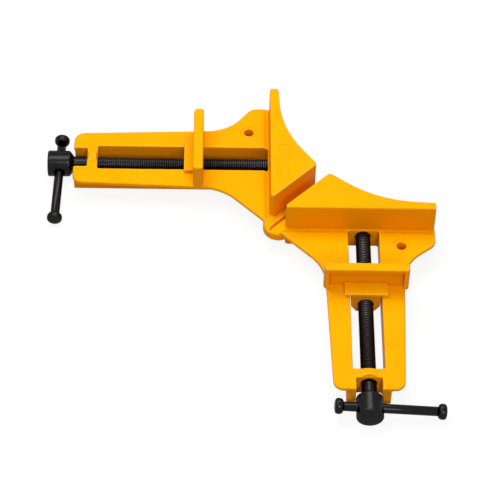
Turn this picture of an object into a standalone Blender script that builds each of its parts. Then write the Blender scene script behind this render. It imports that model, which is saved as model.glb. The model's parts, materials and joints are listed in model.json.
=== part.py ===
"""Corner clamp: a cast right-angle frame with two screw-driven jaws.

Units are metres, +Z is up. The origin lies on the base plane, in the vertical mitre plane
x = y, behind both fence faces. The right-hand fence runs along +X and its arm runs to -Y.
The left-hand wing is the mirror image in that plane: its fence runs along +Y, its arm to -X.

Each wing is drawn in wing coordinates: "along" is the distance from the fence corner along
the fence, "out" is the distance from the fence face towards the arm's end, and heights are
measured from the plate's top face.
"""
import math

import bmesh
import bpy
from mathutils import Matrix, Vector

# Frame casting: plate, arms and fences.
BASE_DEPTH = 0.0168
PLATE_THICKNESS = 0.0030
PLATE_EDGE_ROUND = 0.0015
CORNER_INSET = 0.0090
FENCE_REACH = 0.0477
FENCE_HEIGHT = 0.0208
FENCE_TIP_THICKNESS = 0.0061
FENCE_EDGE_ROUND = 0.0009
FENCE_BACK_RADIUS = 0.082
FENCE_BACK_SLOPE = math.radians(37.0)
FENCE_TAIL_SLOPE = math.radians(2.9)
FENCE_NOSE_ALONG = 0.0398
FENCE_WALL = 0.0040
FOOT_GROOVE_WIDTH = 0.0033
FOOT_GROOVE_DEPTH = 0.0010
FENCE_TIP_LEDGE = 0.0004
FENCE_CORNER_RADIUS = 0.0018
FENCE_TIP_RADIUS = 0.0012
FENCE_NOSE_RADIUS = 0.0030
FENCE_SINK = 0.0030
CORE_RADIUS = 0.0025
SEAT_HALF_WIDTH = 0.0106
SAW_GAP = 0.0110
KERF_WIDTH = 0.0022
KERF_DEPTH = 0.0026
KERF_FILLET = 0.0004
SADDLE_DROP = 0.0004
SADDLE_THICKNESS = 0.0068
SADDLE_SETBACK = 0.0020

ARM_CENTRE = 0.0626
ARM_LENGTH = 0.1346
ARM_ROOT_HALF_WIDTH = 0.0279
ARM_END_HALF_WIDTH = 0.0229
ARM_END_RADIUS = 0.0070
WING_NEAR_RADIUS = 0.033
WING_FAR_RADIUS = 0.030
WING_TIP_RADIUS = 0.0080
WING_TIP_OUT = 0.0127
WING_BACK_RADIUS = 0.0024
WING_FLANK_SLOPE = math.radians(37.2)
NEAR_EDGE_OFFSET = 0.0031
RIB_HALF_WIDTH = 0.0143
RIB_END_STEP = 0.0006

SLOT_WIDTH = 0.0207
SLOT_START = 0.0010
SLOT_CORNER_RADIUS = 0.0009
BEARING_WALL = 0.0072
BEARING_SETBACK = 0.0166
BEARING_BARREL_RADIUS = 0.0092
BARREL_INSET = 0.0003
FORK_WIDTH = 0.0168
SLOT_EDGE_ROUND = 0.0006

BOSS_OFFSET = 0.0044
BOSS_RADIUS = 0.0105
BOSS_TOP_DROP = 0.0014
BOSS_ROUND = 0.0026
BOSS_HEIGHT = 0.0066
BOSS_UNDERCUT = 0.0020
FOOT_RADIUS = 0.0042
FOOT_TOP_RADIUS = 0.0056

MOUNT_HOLE_DIAMETER = 0.0065
MOUNT_HOLE_TO_TIP = 0.0226
MOUNT_HOLE_OUT = 0.0142
MOUNT_DISH_DIAMETER = 0.0117
MOUNT_DISH_DEPTH = 0.0004
MOUNT_LIP = 0.0003
MOUNT_BOSS_RADIUS = 0.0062

NAME_RECESS_LENGTH = 0.0290
NAME_RECESS_WIDTH = 0.0072
NAME_RECESS_DEPTH = 0.00035
NAME_RECESS_TO_ARM = 0.0198
NAME_RECESS_BACK = 0.0088
NAME_RECESS_RADIUS = 0.0010

# Lead screw, its head and its retaining pin.
SCREW_DIAMETER = 0.0100
SCREW_DROP = 0.0074
SCREW_TAIL_REACH = 0.0060
TAIL_CHAMFER = 0.0010
SHOULDER_LENGTH = 0.0026
SHOULDER_STEP = 0.0006
HEAD_TO_ARM = 0.0024
HEAD_LENGTH = 0.0152
HEAD_DIAMETER = 0.0178
HEAD_SHOULDER_ROUND = 0.0008
HEAD_EDGE_ROUND = 0.0010
HEAD_DOME = 0.0003
HEAD_CROWN_RADIUS = 0.0050
BAR_HOLE_INSET = 0.0070
PIN_DIAMETER = 0.0030
PIN_SETBACK = 0.0008
PIN_TOP_DROP = 0.0028
PIN_GROOVE_RADIUS = 0.0032

# Tommy bar and its end caps.
BAR_DIAMETER = 0.0061
BAR_LENGTH = 0.0714
BAR_SHORT_END = 0.0223
CAP_DIAMETER = 0.0103
CAP_LENGTH = 0.0053
CAP_ROUND = 0.0013
CAP_DOME = 0.0002
CAP_CROWN_RADIUS = 0.0020
SPIGOT_DIAMETER = 0.0041
SPIGOT_LENGTH = 0.0030

# Sliding jaw.
JAW_WIDTH = 0.0560
JAW_THICKNESS = 0.0068
JAW_TOP = 0.0205
JAW_WEB = 0.0028
JAW_SIDE_RIM = 0.0033
JAW_TOP_RIM = 0.0031
JAW_BACK_RADIUS = 0.0026
JAW_FRONT_RADIUS = 0.0016
JAW_EDGE_ROUND = 0.0013
JAW_CARRIAGE_WIDTH = 0.0284
JAW_CARRIAGE_HEIGHT = 0.0034
JAW_REACH = 0.0132
NUT_WIDTH = 0.0189
NUT_FOOT = 0.0144
NUT_FRONT = 0.0009
NUT_CHAMFER_WIDTH = 0.0036
NUT_CHAMFER_HEIGHT = 0.0050
NUT_BACK_STEP = 0.0003
CARRIAGE_CORNER_RADIUS = 0.0008
CARRIAGE_EDGE_ROUND = 0.0006
POCKET_RADIUS = 0.0012

# Clearances.
FIT_GAP = 0.0003
BAR_HOLE_GAP = 0.0006
JAW_PLATE_GAP = 0.0006
BLIND_END_GAP = 0.0005

# Rest positions: distance from fence to jaw, and how each bar tilts round its screw and
# leans outwards in its loose hole.
JAW_OPENING = {"left": 0.0454, "right": 0.0469}
BAR_TILT = {"left": math.radians(4.6), "right": math.radians(4.2)}
BAR_LEAN = {"left": math.radians(1.9), "right": 0.0}

# Places that follow from the sizes above, from the fence corner along or out.
FENCE_LENGTH = ARM_CENTRE + FENCE_REACH
MOUNT_HOLE_ALONG = FENCE_LENGTH - MOUNT_HOLE_TO_TIP
NAME_RECESS_ALONG = ARM_CENTRE - NAME_RECESS_TO_ARM
BEARING_START = ARM_LENGTH - BEARING_SETBACK
BEARING_END = BEARING_START + BEARING_WALL
HEAD_START = ARM_LENGTH + HEAD_TO_ARM
SHOULDER_START = HEAD_START - SHOULDER_LENGTH
HEAD_END = HEAD_START + HEAD_LENGTH
BAR_CROSSING = HEAD_START + BAR_HOLE_INSET

# Fineness of the curves: the most that a chord may miss its arc by, and the widest step.
CHORD_ERROR = 0.00006
ARC_STEP = math.radians(24.0)
ROUND_STEPS = 3
ROD_SEGMENTS = 40
BOSS_SEGMENTS = 48
HOLE_SEGMENTS = 32
CAP_SEGMENTS = 32
BAR_SEGMENTS = 24
PIN_SEGMENTS = 20
CUT_MARGIN = 0.0040
SINK = 0.0020

# Mirroring swaps x and y, so a left outline runs the other way round.
SIDES = ("left", "right")

YELLOW = (0.93, 0.50, 0.012, 1.0)
BLACK = (0.018, 0.016, 0.018, 1.0)
STEEL = (0.32, 0.32, 0.33, 1.0)


def clear_scene():
    for obj in list(bpy.data.objects):
        bpy.data.objects.remove(obj, do_unlink=True)


def make_material(name, colour, roughness, metallic):
    material = bpy.data.materials.new(name)
    material.use_nodes = True
    shader = material.node_tree.nodes["Principled BSDF"]
    shader.inputs["Base Color"].default_value = colour
    shader.inputs["Roughness"].default_value = roughness
    shader.inputs["Metallic"].default_value = metallic
    return material


def height(level):
    """World height of a level measured from the plate's top face."""
    return BASE_DEPTH + level


def wing_point(side, along, out):
    """World x and y of a point given in wing coordinates."""
    if side == "right":
        return (along - CORNER_INSET, -out - CORNER_INSET)
    return (-out - CORNER_INSET, along - CORNER_INSET)


def crossing(point_a, direction_a, point_b, direction_b):
    """Where two lines in the plane meet, each given by a point and a direction."""
    span = direction_a[0] * direction_b[1] - direction_a[1] * direction_b[0]
    gap = (point_b[0] - point_a[0], point_b[1] - point_a[1])
    reach = (gap[0] * direction_b[1] - gap[1] * direction_b[0]) / span
    return (point_a[0] + reach * direction_a[0], point_a[1] + reach * direction_a[1])


def corner_tangents(corners):
    """Length that each corner's arc takes off its two sides, limited where a side is too short."""
    count = len(corners)
    points = [Vector(corner[:2]) for corner in corners]
    tangents = []
    for index, (here, corner) in enumerate(zip(points, corners)):
        inward = points[index - 1] - here
        outward = points[(index + 1) % count] - here
        tangents.append(corner[2] / math.tan(inward.angle(outward) / 2.0))
    limited = list(tangents)
    for index in range(count):
        following = (index + 1) % count
        wanted = tangents[index] + tangents[following]
        side = (points[following] - points[index]).length
        if wanted > side:
            limited[index] = min(limited[index], tangents[index] * side / wanted)
            limited[following] = min(limited[following], tangents[following] * side / wanted)
    return limited


def rounded_outline(corners):
    """Closed outline through corners (x, y, radius), each turned on an arc of its radius."""
    points = []
    count = len(corners)
    for index, tangent in enumerate(corner_tangents(corners)):
        here = Vector(corners[index][:2])
        if tangent <= 0.0:
            points.append(tuple(here))
            continue
        inward = (Vector(corners[index - 1][:2]) - here).normalized()
        outward = (Vector(corners[(index + 1) % count][:2]) - here).normalized()
        half = inward.angle(outward) / 2.0
        radius = tangent * math.tan(half)
        centre = here + (inward + outward).normalized() * (radius / math.sin(half))
        start = here + inward * tangent - centre
        turn = start.angle_signed(here + outward * tangent - centre)
        step = min(ARC_STEP, 2.0 * math.acos(max(0.0, 1.0 - CHORD_ERROR / radius)))
        steps = max(1, math.ceil(abs(turn) / step))
        for number in range(steps + 1):
            angle = -turn * number / steps
            points.append((
                centre.x + start.x * math.cos(angle) - start.y * math.sin(angle),
                centre.y + start.x * math.sin(angle) + start.y * math.cos(angle),
            ))
    return points


def counter_clockwise(points):
    area = sum(a[0] * b[1] - b[0] * a[1] for a, b in zip(points, points[1:] + points[:1]))
    return points if area > 0.0 else points[::-1]


def grown_outline(points, distance):
    """The outline moved outwards by distance, or inwards where it is negative."""
    if distance == 0.0:
        return list(points)
    grown = []
    count = len(points)
    for index, point in enumerate(points):
        before = Vector(point) - Vector(points[index - 1])
        after = Vector(points[(index + 1) % count]) - Vector(point)
        before = Vector((before.y, -before.x)).normalized()
        after = Vector((after.y, -after.x)).normalized()
        normal = (before + after).normalized()
        reach = distance / max(normal.dot(after), 0.3)
        grown.append((point[0] + normal.x * reach, point[1] + normal.y * reach))
    return grown


def link_mesh(name, mesh_data, material):
    mesh = bpy.data.meshes.new(name)
    bmesh.ops.recalc_face_normals(mesh_data, faces=mesh_data.faces)
    mesh_data.to_mesh(mesh)
    mesh_data.free()
    obj = bpy.data.objects.new(name, mesh)
    bpy.context.scene.collection.objects.link(obj)
    if material is not None:
        mesh.materials.append(material)
    return obj


def layered_solid(name, outline, levels, material=None, matrix=None):
    """Solid with the outline repeated at each level (height, growth), closed at both ends."""
    outline = counter_clockwise(outline)
    mesh_data = bmesh.new()
    rings = []
    for level, growth in levels:
        ring = [mesh_data.verts.new((x, y, level)) for x, y in grown_outline(outline, growth)]
        rings.append(ring)
    for lower, upper in zip(rings, rings[1:]):
        for index in range(len(outline)):
            following = (index + 1) % len(outline)
            mesh_data.faces.new((lower[index], lower[following], upper[following], upper[index]))
    mesh_data.faces.new(rings[0][::-1])
    mesh_data.faces.new(rings[-1])
    if matrix is not None:
        bmesh.ops.transform(mesh_data, matrix=matrix, verts=mesh_data.verts)
    return link_mesh(name, mesh_data, material)


def turned_solid(name, profile, segments, material=None, matrix=None):
    """Solid of revolution about Z, closed by a flat face at each end of its profile.

    The profile is a list of (radius, height).
    """
    mesh_data = bmesh.new()
    rings = []
    for radius, level in profile:
        ring = []
        for index in range(segments):
            angle = 2.0 * math.pi * index / segments
            ring.append(mesh_data.verts.new((radius * math.cos(angle), radius * math.sin(angle), level)))
        rings.append(ring)
    for lower, upper in zip(rings, rings[1:]):
        for index in range(segments):
            following = (index + 1) % segments
            mesh_data.faces.new((lower[index], lower[following], upper[following], upper[index]))
    mesh_data.faces.new(rings[0][::-1])
    mesh_data.faces.new(rings[-1])
    if matrix is not None:
        bmesh.ops.transform(mesh_data, matrix=matrix, verts=mesh_data.verts)
    return link_mesh(name, mesh_data, material)


def quarter_round(radius, steps=ROUND_STEPS):
    """Points (drop, setback) down a rounded edge, from its flat top to its side."""
    points = []
    for number in range(steps + 1):
        angle = 0.5 * math.pi * number / steps
        points.append((radius * (1.0 - math.cos(angle)), radius * (1.0 - math.sin(angle))))
    return points


def rounded_top(bottom, top, radius):
    """Levels of a solid whose top edge is rounded."""
    levels = [(bottom, 0.0)]
    for drop, setback in reversed(quarter_round(radius)):
        levels.append((top - drop, -setback))
    return levels


def flared_cut(bottom, top, radius):
    """Levels of a cutter that leaves a rounded edge at the height top."""
    levels = [(bottom, 0.0)]
    for drop, setback in quarter_round(radius)[:0:-1]:
        levels.append((top - drop, setback))
    drop, setback = quarter_round(radius)[1]
    levels.append((top + drop, 2.0 * radius - setback))
    levels.append((top + CUT_MARGIN, 2.0 * radius - setback))
    return levels


def combine(body, tool, operation, touching=False):
    """Adds a Boolean with a hidden tool object; touching is for walls that share an edge."""
    modifier = body.modifiers.new(tool.name, "BOOLEAN")
    modifier.operation = operation
    modifier.solver = "EXACT"
    modifier.use_self = touching
    modifier.object = tool
    tool.hide_render = True
    tool.display_type = "WIRE"


def smooth_sharp(obj, angle=math.radians(32.0)):
    obj.data.shade_smooth()
    obj.data.set_sharp_from_angle(angle=angle)


def wing_outline(side, corners):
    """Rounded outline in world x and y from corners (along, out, radius)."""
    return rounded_outline([(*wing_point(side, along, out), radius) for along, out, radius in corners])


def arm_matrix(side, along, out, level):
    """Places a shape drawn with +Y up and +Z running from the fence out along the arm."""
    x, y = wing_point(side, along, out)
    if side == "right":
        across, outward = Vector((1.0, 0.0, 0.0)), Vector((0.0, -1.0, 0.0))
    else:
        across, outward = Vector((0.0, -1.0, 0.0)), Vector((-1.0, 0.0, 0.0))
    rotation = Matrix((across, Vector((0.0, 0.0, 1.0)), outward)).transposed().to_4x4()
    return Matrix.Translation((x, y, height(level))) @ rotation


def set_origin(obj, point):
    """Moves an object's origin to a world point and leaves its shape where it is."""
    obj.data.transform(Matrix.Translation(-Vector(point)))
    obj.location = point


def kerf_line():
    """Sum of along and out on the wall that faces the saw gap."""
    return SAW_GAP / math.sqrt(2.0)


def nose_corner():
    return (FENCE_NOSE_ALONG, kerf_line() - FENCE_NOSE_ALONG)


def wing_plate(side, material=None):
    """Flat plate of one wing: the stretch beside the fence and the tapering arm."""
    tip = FENCE_LENGTH + FENCE_TIP_LEDGE
    near_start = (NEAR_EDGE_OFFSET - FENCE_SINK, -FENCE_SINK)
    flank = (-math.cos(WING_FLANK_SLOPE), math.sin(WING_FLANK_SLOPE))
    near_root = (ARM_CENTRE - ARM_ROOT_HALF_WIDTH, 0.0)
    near_end = (ARM_CENTRE - ARM_END_HALF_WIDTH, ARM_LENGTH)
    far_root = (ARM_CENTRE + ARM_ROOT_HALF_WIDTH, 0.0)
    far_end = (ARM_CENTRE + ARM_END_HALF_WIDTH, ARM_LENGTH)
    near_run = (near_end[0] - near_root[0], ARM_LENGTH)
    far_run = (far_end[0] - far_root[0], ARM_LENGTH)
    near_bend = crossing(near_start, (1.0, 1.0), near_root, near_run)
    far_bend = crossing((tip, WING_TIP_OUT), flank, far_root, far_run)
    outline = wing_outline(side, [
        (*near_start, 0.0),
        (*near_bend, WING_NEAR_RADIUS),
        (*near_end, ARM_END_RADIUS),
        (*far_end, ARM_END_RADIUS),
        (*far_bend, WING_FAR_RADIUS),
        (tip, WING_TIP_OUT, WING_TIP_RADIUS),
        (tip, -FENCE_SINK, WING_BACK_RADIUS),
    ])
    levels = rounded_top(height(-PLATE_THICKNESS), height(0.0), PLATE_EDGE_ROUND)
    return layered_solid(side + "_wing_plate", outline, levels, material)


def fence_block(side):
    """Fence of one wing: upright face, hollow-curved back, mitred nose beside the kerf."""
    nose = nose_corner()
    nose_run = (math.cos(FENCE_BACK_SLOPE), math.sin(FENCE_BACK_SLOPE))
    tail_run = (-math.cos(FENCE_TAIL_SLOPE), -math.sin(FENCE_TAIL_SLOPE))
    waist = crossing(nose, nose_run, (FENCE_LENGTH, -FENCE_TIP_THICKNESS), tail_run)
    outline = wing_outline(side, [
        (kerf_line(), 0.0, FENCE_CORNER_RADIUS),
        (FENCE_LENGTH, 0.0, FENCE_TIP_RADIUS),
        (FENCE_LENGTH, -FENCE_TIP_THICKNESS, FENCE_TIP_RADIUS),
        (*waist, FENCE_BACK_RADIUS),
        (*nose, FENCE_NOSE_RADIUS),
    ])
    levels = rounded_top(height(-BASE_DEPTH), height(FENCE_HEIGHT), FENCE_EDGE_ROUND)
    return layered_solid(side + "_fence", outline, levels)


def fence_core(side):
    """Cutter for the cored underside of a fence, up to the solid seat of the screw's tail."""
    nose = nose_corner()
    nose_run = (math.cos(FENCE_BACK_SLOPE), math.sin(FENCE_BACK_SLOPE))
    back_wall = (nose[0], nose[1] + FENCE_WALL / nose_run[0])
    mitre_wall = kerf_line() + FENCE_WALL * math.sqrt(2.0)
    end = ARM_CENTRE - SEAT_HALF_WIDTH
    peak = crossing((mitre_wall, 0.0), (1.0, -1.0), back_wall, nose_run)
    shoulder = crossing((end, 0.0), (0.0, 1.0), back_wall, nose_run)
    outline = wing_outline(side, [
        (mitre_wall + FENCE_WALL, -FENCE_WALL, CORE_RADIUS),
        (end, -FENCE_WALL, CORE_RADIUS),
        (*shoulder, CORE_RADIUS),
        (*peak, CORE_RADIUS),
    ])
    levels = [(height(-BASE_DEPTH) - CUT_MARGIN, 0.0), (height(FENCE_HEIGHT - FENCE_WALL), 0.0)]
    return layered_solid(side + "_fence_core", outline, levels)


def rectangle(side, along_low, along_high, out_low, out_high, radius=0.0):
    return wing_outline(side, [
        (along_low, out_low, radius),
        (along_high, out_low, radius),
        (along_high, out_high, radius),
        (along_low, out_high, radius),
    ])


def arm_spine(side):
    """Deep block under the arm, from which the slot leaves the two ribs."""
    outline = rectangle(side, ARM_CENTRE - RIB_HALF_WIDTH, ARM_CENTRE + RIB_HALF_WIDTH,
                        -FENCE_SINK, ARM_LENGTH - RIB_END_STEP)
    levels = [(height(-BASE_DEPTH), 0.0), (height(-PLATE_THICKNESS / 2.0), 0.0)]
    return layered_solid(side + "_spine", outline, levels)


def bearing_barrel(side):
    """Round bearing housing that swells out of the arm's top over the screw."""
    profile = [
        (BEARING_BARREL_RADIUS, BARREL_INSET),
        (BEARING_BARREL_RADIUS, BEARING_WALL - BARREL_INSET),
    ]
    barrel = turned_solid(side + "_bearing_barrel", profile, BOSS_SEGMENTS)
    barrel.matrix_world = arm_matrix(side, ARM_CENTRE, BEARING_START, -SCREW_DROP)
    return barrel


def mount_boss(side):
    x, y = wing_point(side, MOUNT_HOLE_ALONG, MOUNT_HOLE_OUT)
    profile = [(MOUNT_BOSS_RADIUS, 0.0), (MOUNT_BOSS_RADIUS, BASE_DEPTH - PLATE_THICKNESS / 2.0)]
    boss = turned_solid(side + "_mount_boss", profile, HOLE_SEGMENTS)
    boss.location = (x, y, 0.0)
    return boss


def mount_hole(side):
    """Cutter for a bench screw's hole with a shallow dish round its mouth."""
    x, y = wing_point(side, MOUNT_HOLE_ALONG, MOUNT_HOLE_OUT)
    hole = MOUNT_HOLE_DIAMETER / 2.0
    dish = MOUNT_DISH_DIAMETER / 2.0
    profile = [
        (hole, -CUT_MARGIN),
        (hole, BASE_DEPTH - MOUNT_DISH_DEPTH - MOUNT_LIP),
        (hole + MOUNT_LIP, BASE_DEPTH - MOUNT_DISH_DEPTH),
        (dish - MOUNT_DISH_DEPTH, BASE_DEPTH - MOUNT_DISH_DEPTH),
        (dish + MOUNT_DISH_DEPTH, BASE_DEPTH + MOUNT_DISH_DEPTH),
    ]
    cutter = turned_solid(side + "_mount_hole", profile, HOLE_SEGMENTS)
    cutter.location = (x, y, 0.0)
    return cutter


def corner_boss():
    """Round lobe at the outer corner, with a rounded rim and a chamfered underside."""
    top = BASE_DEPTH - BOSS_TOP_DROP
    low = top - BOSS_HEIGHT
    profile = [(BOSS_RADIUS - BOSS_UNDERCUT, low - BOSS_UNDERCUT), (BOSS_RADIUS, low)]
    for drop, setback in reversed(quarter_round(BOSS_ROUND)):
        profile.append((BOSS_RADIUS - setback, top - drop))
    boss = turned_solid("corner_boss", profile, BOSS_SEGMENTS)
    side_step = -BOSS_OFFSET / math.sqrt(2.0)
    boss.location = (side_step, side_step, 0.0)
    return boss


def corner_foot():
    """Tapered foot under the boss and the saddle, down to the bench at the origin."""
    profile = [(FOOT_RADIUS, 0.0), (FOOT_TOP_RADIUS, BASE_DEPTH - PLATE_THICKNESS / 2.0)]
    return turned_solid("corner_foot", profile, HOLE_SEGMENTS)


def diagonal_matrix():
    """Places a shape drawn with +Y up and +Z running from the corner along the kerf."""
    along = Vector((1.0, 1.0, 0.0)).normalized()
    upward = Vector((0.0, 0.0, 1.0))
    across = upward.cross(along)
    return Matrix((across, upward, along)).transposed().to_4x4()


def saddle():
    """Web level with the plates that ties the two wings together between the fences."""
    half = SAW_GAP / 2.0 + SINK
    top = height(-SADDLE_DROP)
    low = height(-SADDLE_DROP - SADDLE_THICKNESS)
    nose = wing_point("right", *nose_corner())
    start = -(CORNER_INSET - FENCE_SINK) * math.sqrt(2.0)
    reach = (nose[0] + nose[1]) / math.sqrt(2.0) - SADDLE_SETBACK
    outline = [(-half, low), (half, low), (half, top), (-half, top)]
    web = layered_solid("saddle", outline, [(start, 0.0), (reach, 0.0)])
    web.matrix_world = diagonal_matrix()
    return web


def kerf_cut():
    """Cutter for the narrow saw groove through boss, plates and saddle."""
    half = KERF_WIDTH / 2.0
    low = height(-KERF_DEPTH)
    top = height(FENCE_HEIGHT) + CUT_MARGIN
    outline = rounded_outline([
        (-half, low, KERF_FILLET),
        (half, low, KERF_FILLET),
        (half, top, 0.0),
        (-half, top, 0.0),
    ])
    cutter = layered_solid("kerf_cut", outline, [(-2.0 * BOSS_RADIUS, 0.0), (FENCE_LENGTH, 0.0)])
    cutter.matrix_world = diagonal_matrix()
    return cutter


def foot_groove(side):
    """Cutter for the relief groove along the foot of a fence, made before the fence is added."""
    outline = rectangle(side, -CUT_MARGIN, FENCE_LENGTH + CUT_MARGIN,
                        -FENCE_SINK - CUT_MARGIN, FOOT_GROOVE_WIDTH)
    levels = [(height(-FOOT_GROOVE_DEPTH), 0.0), (height(CUT_MARGIN), 0.0)]
    return layered_solid(side + "_foot_groove", outline, levels)


def arm_slot(side):
    half = SLOT_WIDTH / 2.0
    outline = rectangle(side, ARM_CENTRE - half, ARM_CENTRE + half, SLOT_START, BEARING_START,
                        SLOT_CORNER_RADIUS)
    levels = flared_cut(height(-BASE_DEPTH) - CUT_MARGIN, height(0.0), SLOT_EDGE_ROUND)
    return layered_solid(side + "_arm_slot", outline, levels)


def arm_fork(side):
    """Cutter for the open notch in the arm's end, where the screw's neck lies."""
    half = FORK_WIDTH / 2.0
    outline = rectangle(side, ARM_CENTRE - half, ARM_CENTRE + half,
                        BEARING_END, ARM_LENGTH + CUT_MARGIN, SLOT_CORNER_RADIUS)
    levels = flared_cut(height(-BASE_DEPTH) - CUT_MARGIN, height(0.0), SLOT_EDGE_ROUND)
    return layered_solid(side + "_arm_fork", outline, levels)


def screw_bore(side):
    """Cutter for the bearing bore and the blind seat of the screw's tail under the fence."""
    radius = SCREW_DIAMETER / 2.0 + FIT_GAP
    low = -SCREW_TAIL_REACH - BLIND_END_GAP
    high = BEARING_END + CUT_MARGIN
    cutter = turned_solid(side + "_screw_bore", [(radius, low), (radius, high)], ROD_SEGMENTS)
    cutter.matrix_world = arm_matrix(side, ARM_CENTRE, 0.0, -SCREW_DROP)
    return cutter


def pin_offset():
    """Sideways distance from the screw's axis to the retaining pin's axis."""
    return PIN_GROOVE_RADIUS + FIT_GAP + PIN_DIAMETER / 2.0


def pin_point(side):
    return wing_point(side, ARM_CENTRE + pin_offset(), (BEARING_START + BEARING_END) / 2.0)


def pin_hole(side):
    x, y = pin_point(side)
    radius = PIN_DIAMETER / 2.0 + FIT_GAP
    top = height(-PIN_TOP_DROP) + FIT_GAP
    cutter = turned_solid(side + "_pin_hole", [(radius, -CUT_MARGIN), (radius, top)], PIN_SEGMENTS)
    cutter.location = (x, y, 0.0)
    return cutter


def name_recess():
    """Cutter for the shallow bare recess in the top of the left-hand fence."""
    half = NAME_RECESS_LENGTH / 2.0
    outline = rectangle("left", NAME_RECESS_ALONG - half, NAME_RECESS_ALONG + half,
                        -NAME_RECESS_BACK - NAME_RECESS_WIDTH / 2.0,
                        -NAME_RECESS_BACK + NAME_RECESS_WIDTH / 2.0, NAME_RECESS_RADIUS)
    top = height(FENCE_HEIGHT)
    levels = [(top - NAME_RECESS_DEPTH, 0.0), (top + NAME_RECESS_DEPTH, 2.0 * NAME_RECESS_DEPTH)]
    return layered_solid("name_recess", outline, levels)


def make_frame(material):
    """The one-piece casting that carries both fences, both arms and both screw bearings."""
    body = wing_plate("right", material)
    body.name = "clamp_body"
    combine(body, foot_groove("right"), "DIFFERENCE")
    left_plate = wing_plate("left")
    combine(left_plate, foot_groove("left"), "DIFFERENCE")
    tools = [make(side) for make in (bearing_barrel, mount_boss, arm_spine) for side in SIDES]
    tools += [fence_block("right"), fence_block("left"), left_plate, saddle(), corner_foot(), corner_boss()]
    for tool in tools:
        combine(body, tool, "UNION", touching=True)
    combine(body, kerf_cut(), "DIFFERENCE")
    for side in SIDES:
        for tool in (fence_core(side), arm_slot(side), arm_fork(side), screw_bore(side),
                     pin_hole(side), mount_hole(side)):
            combine(body, tool, "DIFFERENCE")
    combine(body, name_recess(), "DIFFERENCE")
    return body


def make_retaining_pin(side, material):
    """Pin pressed up from below that runs in the screw's groove and stops it moving endways."""
    x, y = pin_point(side)
    radius = PIN_DIAMETER / 2.0
    chamfer = radius * 0.25
    top = height(-PIN_TOP_DROP)
    profile = [
        (radius - chamfer, PIN_SETBACK),
        (radius, PIN_SETBACK + chamfer),
        (radius, top - chamfer),
        (radius - chamfer, top),
    ]
    pin = turned_solid(side + "_retaining_pin", profile, PIN_SEGMENTS, material)
    pin.location = (x, y, 0.0)
    smooth_sharp(pin)
    return pin


def make_screw(side, material):
    """Lead screw turned from one bar: tail, threaded run, pin groove, neck, shoulder and head."""
    rod = SCREW_DIAMETER / 2.0
    head = HEAD_DIAMETER / 2.0
    middle = (BEARING_START + BEARING_END) / 2.0
    groove = PIN_DIAMETER / 2.0 + FIT_GAP
    profile = [
        (rod - TAIL_CHAMFER, -SCREW_TAIL_REACH),
        (rod, -SCREW_TAIL_REACH + TAIL_CHAMFER),
        (rod, middle - groove),
        (PIN_GROOVE_RADIUS, middle - groove),
        (PIN_GROOVE_RADIUS, middle + groove),
        (rod, middle + groove),
        (rod, SHOULDER_START),
        (rod + SHOULDER_STEP, SHOULDER_START + SHOULDER_STEP / 2.0),
        (head - HEAD_SHOULDER_ROUND, HEAD_START - HEAD_SHOULDER_ROUND / 2.0),
        (head, HEAD_START + HEAD_SHOULDER_ROUND / 2.0),
    ]
    for drop, setback in reversed(quarter_round(HEAD_EDGE_ROUND)):
        profile.append((head - setback, HEAD_END - drop))
    profile.append((HEAD_CROWN_RADIUS, HEAD_END + HEAD_DOME))
    screw = turned_solid(side + "_lead_screw", profile, ROD_SEGMENTS, material)
    tilt = Matrix.Rotation(-BAR_TILT[side], 4, "Z")
    screw.matrix_world = arm_matrix(side, ARM_CENTRE, 0.0, -SCREW_DROP) @ tilt
    smooth_sharp(screw)
    radius = BAR_DIAMETER / 2.0 + BAR_HOLE_GAP
    reach = HEAD_DIAMETER
    hole = turned_solid(side + "_bar_hole", [(radius, -reach), (radius, reach)], BAR_SEGMENTS)
    hole.matrix_world = bar_matrix(side, 0.0)
    combine(screw, hole, "DIFFERENCE")
    return screw


def bar_matrix(side, lean):
    """Places a shape drawn along +Z so that +Z is the long end of the tilted tommy bar."""
    place = arm_matrix(side, ARM_CENTRE, BAR_CROSSING, -SCREW_DROP)
    tilt = Matrix.Rotation(-BAR_TILT[side], 4, "Z")
    return place @ tilt @ Matrix.Rotation(math.pi / 2.0 - lean, 4, "Y")


def make_bar(side, material):
    """Tommy bar with a spigot at each end, which slides in the screw's head."""
    low = -BAR_SHORT_END + CAP_LENGTH + FIT_GAP
    high = BAR_LENGTH - BAR_SHORT_END - CAP_LENGTH - FIT_GAP
    bar = BAR_DIAMETER / 2.0
    spigot = SPIGOT_DIAMETER / 2.0
    profile = [
        (spigot, low - SPIGOT_LENGTH),
        (spigot, low),
        (bar, low),
        (bar, high),
        (spigot, high),
        (spigot, high + SPIGOT_LENGTH),
    ]
    rod = turned_solid(side + "_tommy_bar", profile, BAR_SEGMENTS, material)
    rod.matrix_world = bar_matrix(side, BAR_LEAN[side])
    smooth_sharp(rod)
    return rod


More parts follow.
